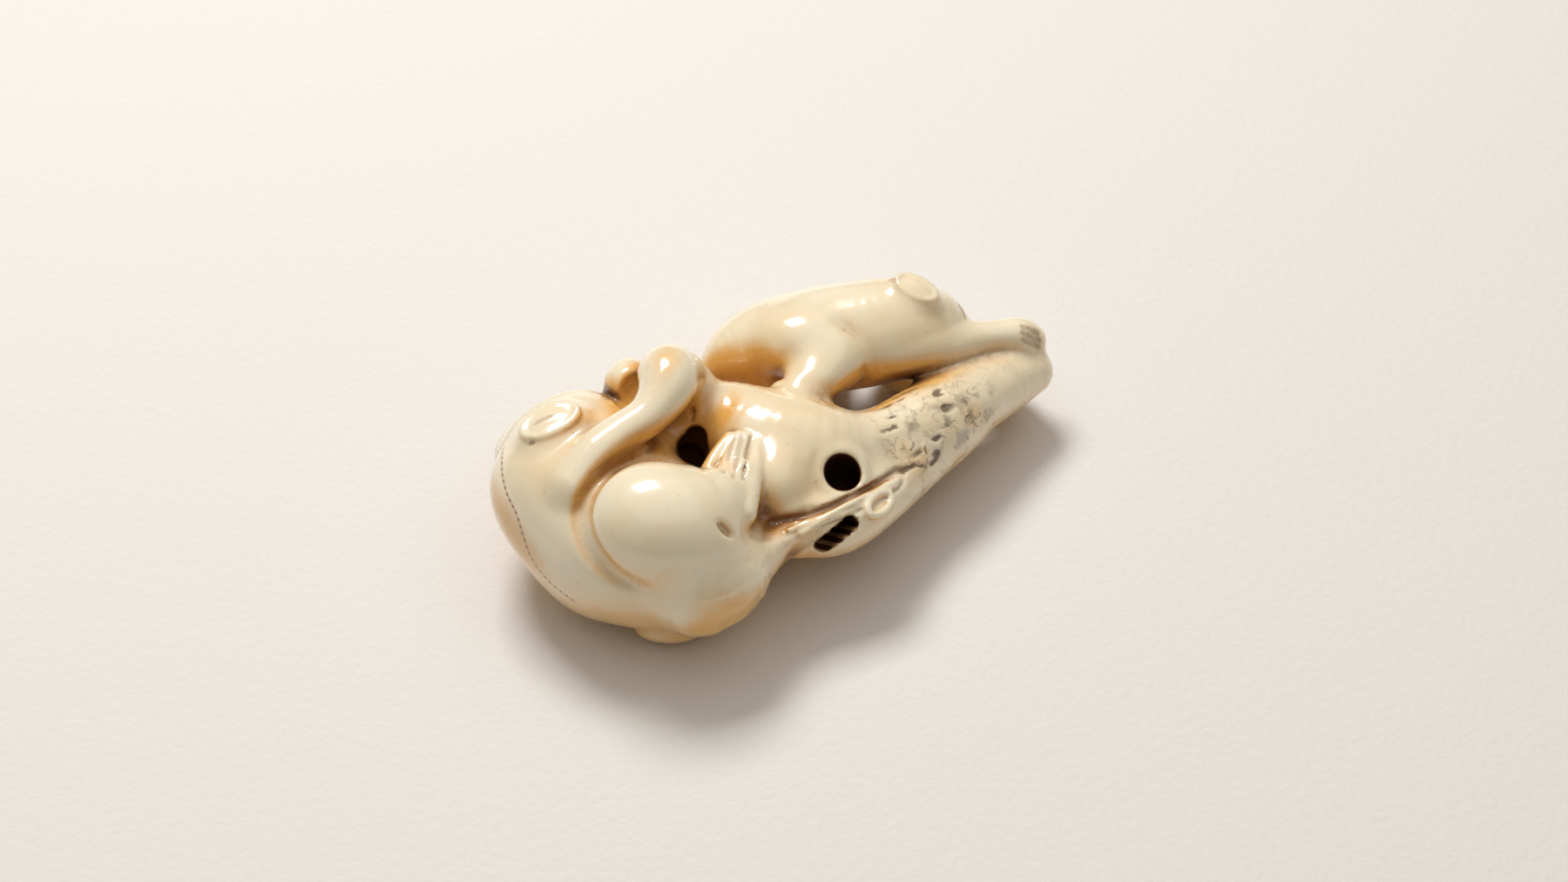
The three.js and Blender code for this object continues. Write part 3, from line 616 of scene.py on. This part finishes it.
def along_line(points, outwards, line):
    """For each point, how far along a line of points its nearest place is, and how far to the line's left
    the point lies."""
    best = np.full(len(points), np.inf)
    along, aside = np.zeros(len(points)), np.zeros(len(points))
    travelled = 0.0
    for start, end in zip(line[:-1], line[1:]):
        length = np.linalg.norm(end - start)
        run = (end - start) / length
        ahead = np.clip((points - start) @ run, 0, length)
        offset = points - start - ahead[:, None] * run
        off = np.linalg.norm(offset, axis=1)
        closer = off < best
        best[closer] = off[closer]
        along[closer] = travelled + ahead[closer]
        left = (np.cross(outwards, run) * offset).sum(axis=1)
        aside[closer] = (np.sign(left) * off)[closer]
        travelled += length
    return along, aside


def bark_on(points, branch_gap, bored):
    """How much bark there is at points, 0 to 1, and how deep its pits are, 0 to 1. Bark falls off with the
    way from its middle, counted along and across the branch, and stops where the branch does, short of the
    large frog's foot and at the openings. Its pits are where waves drawn out along the branch are high."""
    branch_run = unit(seen(*BRANCH[-1][:3]) - seen(*BRANCH[3][:3]))
    along_points = points @ branch_run
    (bark_middle,), _ = on_skin([BARK_MIDDLE])
    from_middle = points - bark_middle
    along = from_middle @ branch_run
    across = np.linalg.norm(from_middle - along[:, None] * branch_run, axis=1)
    place = np.clip(1.7 - np.hypot(along / BARK_HALF_LENGTH, across / BARK_HALF_WIDTH), 0.15, 1)
    place = place * rise(branch_gap, 1.2, 0.4)
    place = place * rise(along_points, BARK_START, BARK_START + 5)
    place = place * rise(bored, -0.2, 0.2)
    drawn_out = points - 0.6 * along_points[:, None] * branch_run
    rough = waves(drawn_out, 1.7, seed=3) + 0.6 * waves(drawn_out, 0.9, seed=4)
    pits = place * rise(rough, 0.25, 0.75) * rise(waves(points, 7.0, seed=5), -0.6, 0.4)
    return place, pits


# The skin, settled on the field, and what the material has to know about each of its corners
values = sample_field(GRID_STEP, REACH)
corners, faces = skin_net(values, GRID_STEP)
outwards = grid_slope(values, GRID_STEP, corners)
corners -= np.clip(field_at(corners), -MOST_SETTLING, MOST_SETTLING)[:, None] * outwards
outwards = grid_slope(values, GRID_STEP, corners)
far_values = sample_field(FAR_STEP, FAR_REACH)
# How enclosed each corner is: from this the material paints brown, partly real stain and partly painted
# shade, and near-black painted shade
hollow = CREASE_SHARE * shade(values, GRID_STEP, corners, outwards, CREASE_HEIGHTS)
hollow += (1 - CREASE_SHARE) * shade(far_values, FAR_STEP, corners, outwards, HOLLOW_HEIGHTS)
# Broad folds, with more on what faces down: from this the material paints amber shade and glow
broad = shade(far_values, FAR_STEP, corners, outwards, FOLD_HEIGHTS)
broad += UNDERSIDE_SHADE * rise(outwards[:, 2], 0.5, -0.5)
pit_gap = gap_to("pit", corners)
slot_gap = gap_to("cord slot", corners)
fine_gap = gap_to("fine groove", corners)
bored = np.minimum(np.minimum(pit_gap, slot_gap), gap_to("cord hole", corners))
branch_gap = gap_to("branch", corners)
mouth_points, _ = on_skin(MOUTH_LINE)
mouth_along, mouth_off = along_line(corners, outwards, smooth_row(mouth_points))
bark_place, bark = bark_on(corners, branch_gap, bored)
swells = bark_place * waves(corners, 4.0, seed=6)
corners -= (BARK_PIT_DEPTH * bark - BARK_SWELL * swells)[:, None] * outwards

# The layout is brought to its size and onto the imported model's own place, and its underside is ground flat
node_low, node_high = (MM_PER_M * np.array(corner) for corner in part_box("netsuke"))
grown = SCALE * corners
grown_low, grown_high = grown.min(axis=0), grown.max(axis=0)
shift = 0.5 * (node_low + node_high) - 0.5 * (grown_low + grown_high)
shift[2] = -(grown_low[2] + GROUND_OFF)
placed = grown + shift
placed[:, 2] = np.maximum(placed[:, 2], 0)
placed = np.clip(placed, node_low, node_high)

# The dressed piece, with its numbers for the material at each corner
mesh = bpy.data.meshes.new("netsuke_skin")
mesh.from_pydata((placed / MM_PER_M).tolist(), [], faces.tolist())
mesh.polygons.foreach_set("use_smooth", np.ones(len(faces), bool))
corner_numbers = {
    "hollow": hollow,
    "broad": broad,
    "bored": bored,
    "slot_gap": slot_gap,
    "pit_gap": pit_gap,
    "fine_gap": fine_gap,
    "bark": bark,
    "bark_place": bark_place,
    "mouth_along": mouth_along,
    "mouth_off": mouth_off,
}
for name, numbers in corner_numbers.items():
    layer = mesh.attributes.new(name, "FLOAT", "POINT")
    layer.data.foreach_set("value", np.ascontiguousarray(numbers, dtype=np.float32))
mesh.update()
scene = bpy.context.scene
netsuke = bpy.data.objects.new("netsuke_skin", mesh)
scene.collection.objects.link(netsuke)


# Materials
class Nodes:
    """Short ways to add and link shader nodes in one node tree."""

    def __init__(self, tree):
        self.tree = tree

    def add(self, kind, values=None, **settings):
        """A new node, with numbers or other nodes' outputs put into its named inputs."""
        node = self.tree.nodes.new(kind)
        for name, value in settings.items():
            setattr(node, name, value)
        for name, value in (values or {}).items():
            self.set(node.inputs[name], value)
        return node

    def set(self, socket, value):
        if isinstance(value, bpy.types.NodeSocket):
            self.tree.links.new(value, socket)
        else:
            socket.default_value = value

    def math(self, operation, first, second=0.0):
        return self.add("ShaderNodeMath", {0: first, 1: second}, operation=operation).outputs[0]

    def plus(self, first, second):
        return self.math("ADD", first, second)

    def minus(self, first, second):
        return self.math("SUBTRACT", first, second)

    def times(self, first, second):
        return self.math("MULTIPLY", first, second)

    def span(self, value, low, high, to_low=0.0, to_high=1.0):
        """A smooth step: to_low at low, to_high at high, level beyond both."""
        values = {"Value": value, "From Min": low, "From Max": high, "To Min": to_low, "To Max": to_high}
        return self.add("ShaderNodeMapRange", values, interpolation_type="SMOOTHSTEP").outputs[0]

    def mix(self, share, first, second):
        """The first colour with a share of the second in it."""
        values = {"Factor": share, "A": first, "B": second}
        node = self.add("ShaderNodeMix", data_type="RGBA")
        for socket in node.inputs:
            if socket.enabled and socket.name in values:
                self.set(socket, values[socket.name])
        return next(output for output in node.outputs if output.enabled)

    def attribute(self, name):
        return self.add("ShaderNodeAttribute", attribute_name=name).outputs["Fac"]

    def noise(self, place, scale, detail=3.0, roughness=0.5, distortion=0.0):
        values = {
            "Vector": place, "Scale": scale, "Detail": detail, "Roughness": roughness,
            "Distortion": distortion,
        }
        return self.add("ShaderNodeTexNoise", values).outputs["Fac"]


# Colours
CREAM = (0.88, 0.73, 0.49, 1)
PALE = (0.93, 0.83, 0.64, 1)
# The amber is painted shade and glow in broad folds and on undersides, and real yellow patches on the bark
AMBER = (0.80, 0.44, 0.10, 1)
# The brown below is real stain in grooves, dots and specks, and painted shade in hollows; the near-black
# after it is painted shade in the deepest hollows and in the cord openings
STAIN_AND_SHADE_BROWN = (0.26, 0.10, 0.025, 1)
SHADE_BLACK = (0.045, 0.014, 0.006, 1)
OCHRE = (0.42, 0.24, 0.09, 1)
BARK_GREY = (0.13, 0.08, 0.04, 1)
# The pit brown is painted shade on the walls of the pit
PIT_SHADE_BROWN = (0.20, 0.08, 0.03, 1)
PAPER = (0.80, 0.79, 0.77, 1)
# Patterns, in repeats to the metre
CLOUD_SCALE = 80
PATCH_SCALE = 170
SMUDGE_SCALE = 300
BLOTCH_SCALE = 320
SLOT_BAND_SCALE = 330
SCRATCH_SCALE = 600
FLECK_SCALE = 620
PAPER_GRAIN_SCALE = 1100
SPECK_SCALE = 1500
# How many times closer scratches lie across their run than along it
SCRATCH_STRETCH = (1, 7, 1)
# Distances in parts: from dot to dot on the mouth line, and from where to where an opening's dark painted
# shade sets in
MOUTH_DOT_STEP = 0.8
OPENING_EDGE = (0.3, 0.05)


def stained_and_shaded_skin(nodes, place, stain_and_shade, uneven):
    """Cream with paler clouds; amber painted shade and glow in broad folds; brown stain and painted shade,
    then near-black painted shade, in what is enclosed.
    """
    base = nodes.mix(nodes.span(nodes.noise(place, CLOUD_SCALE), 0.3, 0.58), CREAM, PALE)
    # Amber painted shade and glow in broad folds and on undersides, with random unevenness
    shade_glow_share = nodes.span(nodes.plus(nodes.attribute("broad"), uneven), 0.03, 0.75, 0.0, 0.95)
    warm = nodes.mix(shade_glow_share, base, AMBER)
    # Brown, partly real stain and partly painted shade, then near-black painted shade where most enclosed
    brown = nodes.mix(nodes.span(stain_and_shade, 0.25, 0.7, 0.0, 0.9), warm, STAIN_AND_SHADE_BROWN)
    return nodes.mix(nodes.span(stain_and_shade, 0.72, 0.95, 0.0, 0.85), brown, SHADE_BLACK)


def barked_skin(nodes, place, skin, on_bark, flecks):
    """Bark on the skin: yellow patches and grey-brown smudges, then dark pits and flecks."""
    patches = nodes.noise(place, PATCH_SCALE, 2)
    yellow_share = nodes.times(nodes.span(patches, 0.45, 0.65, 0.0, 0.45), on_bark)
    yellowed = nodes.mix(yellow_share, skin, AMBER)
    smudges = nodes.span(nodes.noise(place, SMUDGE_SCALE, 3, 0.6), 0.5, 0.68, 0.0, 0.5)
    smudged = nodes.mix(nodes.times(smudges, on_bark), yellowed, BARK_GREY)
    pit_share = nodes.span(nodes.attribute("bark"), 0.15, 0.6, 0.0, 0.85)
    fleck_share = nodes.times(flecks, nodes.span(patches, 0.35, 0.6, 0.15, 0.85))
    return nodes.mix(nodes.math("MAXIMUM", pit_share, fleck_share), smudged, BARK_GREY)


def specked_skin(nodes, place, skin, stain_and_shade):
    """Brown in the fine grooves, and scattered brown specks, thickest where the stain and painted shade are
    deep.
    """
    grooved = nodes.mix(nodes.span(nodes.attribute("fine_gap"), 0.25, 0.0, 0.0, 0.35), skin, STAIN_AND_SHADE_BROWN)
    specks = nodes.span(nodes.noise(place, SPECK_SCALE, 2), 0.68, 0.74)
    speck_share = nodes.times(specks, nodes.span(stain_and_shade, 0.1, 0.5, 0.12, 0.7))
    return nodes.mix(speck_share, grooved, STAIN_AND_SHADE_BROWN)


def mouth_marks(nodes):
    """The dots along the mouth and the thin line that they lie on. A dot shows near the middle of each step
    along the mouth: its reach is the root of the squares of the ways along and off the line from there."""
    steps = nodes.math("FRACT", nodes.math("DIVIDE", nodes.attribute("mouth_along"), MOUTH_DOT_STEP))
    along = nodes.times(nodes.minus(steps, 0.5), MOUTH_DOT_STEP)
    off = nodes.math("ABSOLUTE", nodes.attribute("mouth_off"))
    reach = nodes.math("SQRT", nodes.plus(nodes.math("POWER", along, 2), nodes.math("POWER", off, 2)))
    return nodes.span(reach, 0.24, 0.14), nodes.span(off, 0.3, 0.05, 0.0, 0.35)


def shaded_opening_colour(nodes, place):
    """Near-black painted shade in the cord openings, banded with ochre in the slot, and brown painted shade
    in the pit.
    """
    ground = nodes.mix(nodes.span(nodes.attribute("pit_gap"), *OPENING_EDGE), SHADE_BLACK, PIT_SHADE_BROWN)
    waves_across = {"Vector": place, "Scale": SLOT_BAND_SCALE, "Distortion": 1.0}
    bands = nodes.add("ShaderNodeTexWave", waves_across, bands_direction="DIAGONAL").outputs["Fac"]
    in_slot = nodes.span(nodes.attribute("slot_gap"), *OPENING_EDGE)
    band_share = nodes.times(nodes.span(bands, 0.45, 0.75, 0.0, 0.7), in_slot)
    return nodes.mix(band_share, ground, OCHRE)


def carved_ivory():
    """Polished ivory, a little see-through, with stains, painted shade in hollows and folds, bark, mouth dots
    and openings darkened with painted shade.
    """
    material = bpy.data.materials.new("carved_ivory")
    material.use_nodes = True
    nodes = Nodes(material.node_tree)
    shader = material.node_tree.nodes["Principled BSDF"]
    place = nodes.add("ShaderNodeTexCoord").outputs["Object"]
    hollow = nodes.attribute("hollow")
    bored = nodes.attribute("bored")
    on_bark = nodes.attribute("bark_place")
    blotches = nodes.noise(place, BLOTCH_SCALE, 4, 0.6)
    uneven = nodes.times(nodes.minus(blotches, 0.5), 0.3)
    # Enclosed places plus random blotches: the brown from this is partly real stain and partly painted shade
    stain_and_shade = nodes.plus(hollow, uneven)
    flecks = nodes.span(nodes.noise(place, FLECK_SCALE, 5, 0.7, 1.0), 0.55, 0.64)
    flecks = nodes.times(flecks, on_bark)
    dots, mouth_line = mouth_marks(nodes)

    skin = stained_and_shaded_skin(nodes, place, stain_and_shade, uneven)
    skin = barked_skin(nodes, place, skin, on_bark, flecks)
    skin = specked_skin(nodes, place, skin, stain_and_shade)
    skin = nodes.mix(nodes.math("MAXIMUM", nodes.times(dots, 0.85), mouth_line), skin, STAIN_AND_SHADE_BROWN)
    # Openings take their painted shade: near-black in the cord openings and brown in the pit
    colour = nodes.mix(nodes.span(bored, *OPENING_EDGE), skin, shaded_opening_colour(nodes, place))
    nodes.set(shader.inputs["Base Color"], colour)

    # Duller in hollows and on bark, and with no polish left in the openings
    stretched = nodes.add("ShaderNodeMapping", {"Vector": place, "Scale": SCRATCH_STRETCH}).outputs[0]
    scratches = nodes.noise(stretched, SCRATCH_SCALE, 3, 0.6)
    worn = nodes.plus(nodes.times(hollow, 0.7), nodes.times(scratches, 0.25))
    rough = nodes.span(nodes.plus(worn, nodes.times(on_bark, 0.3)), 0.0, 1.0, 0.16, 0.6)
    rough_in_openings = nodes.span(bored, *OPENING_EDGE, 0.0, 0.7)
    nodes.set(shader.inputs["Roughness"], nodes.math("MAXIMUM", rough, rough_in_openings))
    nodes.set(shader.inputs["Specular IOR Level"], nodes.span(bored, *OPENING_EDGE, 0.5, 0.05))
    nodes.set(shader.inputs["Coat Weight"], nodes.span(bored, *OPENING_EDGE, 0.8, 0.0))
    shader.inputs["Coat Roughness"].default_value = 0.06

    # Scratches show faintly, and flecks and dots are sunk
    sunk = nodes.plus(nodes.times(flecks, 0.8), dots)
    height = nodes.minus(nodes.times(scratches, 0.06), sunk)
    bump = nodes.add("ShaderNodeBump", {"Height": height, "Strength": 0.6, "Distance": 0.0002})
    nodes.set(shader.inputs["Normal"], bump.outputs[0])
    shader.inputs["Subsurface Weight"].default_value = 0.25
    shader.inputs["Subsurface Radius"].default_value = (0.8, 0.5, 0.3)
    shader.inputs["Subsurface Scale"].default_value = 0.002
    return material


mesh.materials.append(carved_ivory())
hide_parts("netsuke")
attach(netsuke, "root")


# Stage: pale paper under the netsuke, a window beyond and above it, and soft light from a wide ceiling
def floor(half=1.5):
    """A flat square of paper with a fine grain."""
    ground = bpy.data.meshes.new("paper_floor")
    ground_corners = [(-half, -half, 0), (half, -half, 0), (half, half, 0), (-half, half, 0)]
    ground.from_pydata(ground_corners, [], [(0, 1, 2, 3)])
    material = bpy.data.materials.new("paper")
    material.use_nodes = True
    shader = material.node_tree.nodes["Principled BSDF"]
    shader.inputs["Base Color"].default_value = PAPER
    shader.inputs["Roughness"].default_value = 0.9
    nodes = Nodes(material.node_tree)
    grain = nodes.noise(nodes.add("ShaderNodeTexCoord").outputs["Object"], PAPER_GRAIN_SCALE)
    bump = nodes.add("ShaderNodeBump", {"Height": grain, "Strength": 0.35, "Distance": 0.0003})
    nodes.set(shader.inputs["Normal"], bump.outputs[0])
    ground.materials.append(material)
    sheet = bpy.data.objects.new("paper_floor", ground)
    scene.collection.objects.link(sheet)


def area_light(name, place, aim, size, watts, colour):
    """A flat rectangular light at a place in metres, facing its aim."""
    lamp = bpy.data.lights.new(name, "AREA")
    lamp.shape = "RECTANGLE"
    lamp.size, lamp.size_y = size
    lamp.energy = watts
    lamp.color = colour
    light = bpy.data.objects.new(name, lamp)
    light.location = place
    light.rotation_euler = (Vector(aim) - Vector(place)).to_track_quat("-Z", "Y").to_euler()
    scene.collection.objects.link(light)


floor()
area_light(
    "window", place=(0.0, 0.26, 0.46), aim=(0, 0, 0.01), size=(0.20, 0.15), watts=1.95,
    colour=(1.0, 0.98, 0.95),
)
area_light(
    "ceiling", place=(0.1, 0.0, 1.0), aim=(0, 0, 0), size=(1.6, 1.6), watts=5.0,
    colour=(1.0, 0.95, 0.89),
)
world = bpy.data.worlds.new("soft_room")
world.use_nodes = True
background = world.node_tree.nodes["Background"]
background.inputs["Color"].default_value = (1.0, 0.93, 0.81, 1)
background.inputs["Strength"].default_value = 0.19
scene.world = world
scene.view_settings.view_transform = "Standard"

# The camera stands where the layout is seen from
lens = bpy.data.cameras.new("camera")
lens.lens = 60
lens.sensor_width = 36
lens.clip_start = 0.01
camera = bpy.data.objects.new("camera", lens)
camera_place = Vector((SCALE * EYE_POINT + shift) / MM_PER_M)
camera_turn = Matrix(np.stack([RIGHT, UP, TOWARD], axis=1).tolist()).to_4x4()
camera.matrix_world = Matrix.Translation(camera_place) @ camera_turn
scene.collection.objects.link(camera)
scene.camera = camera
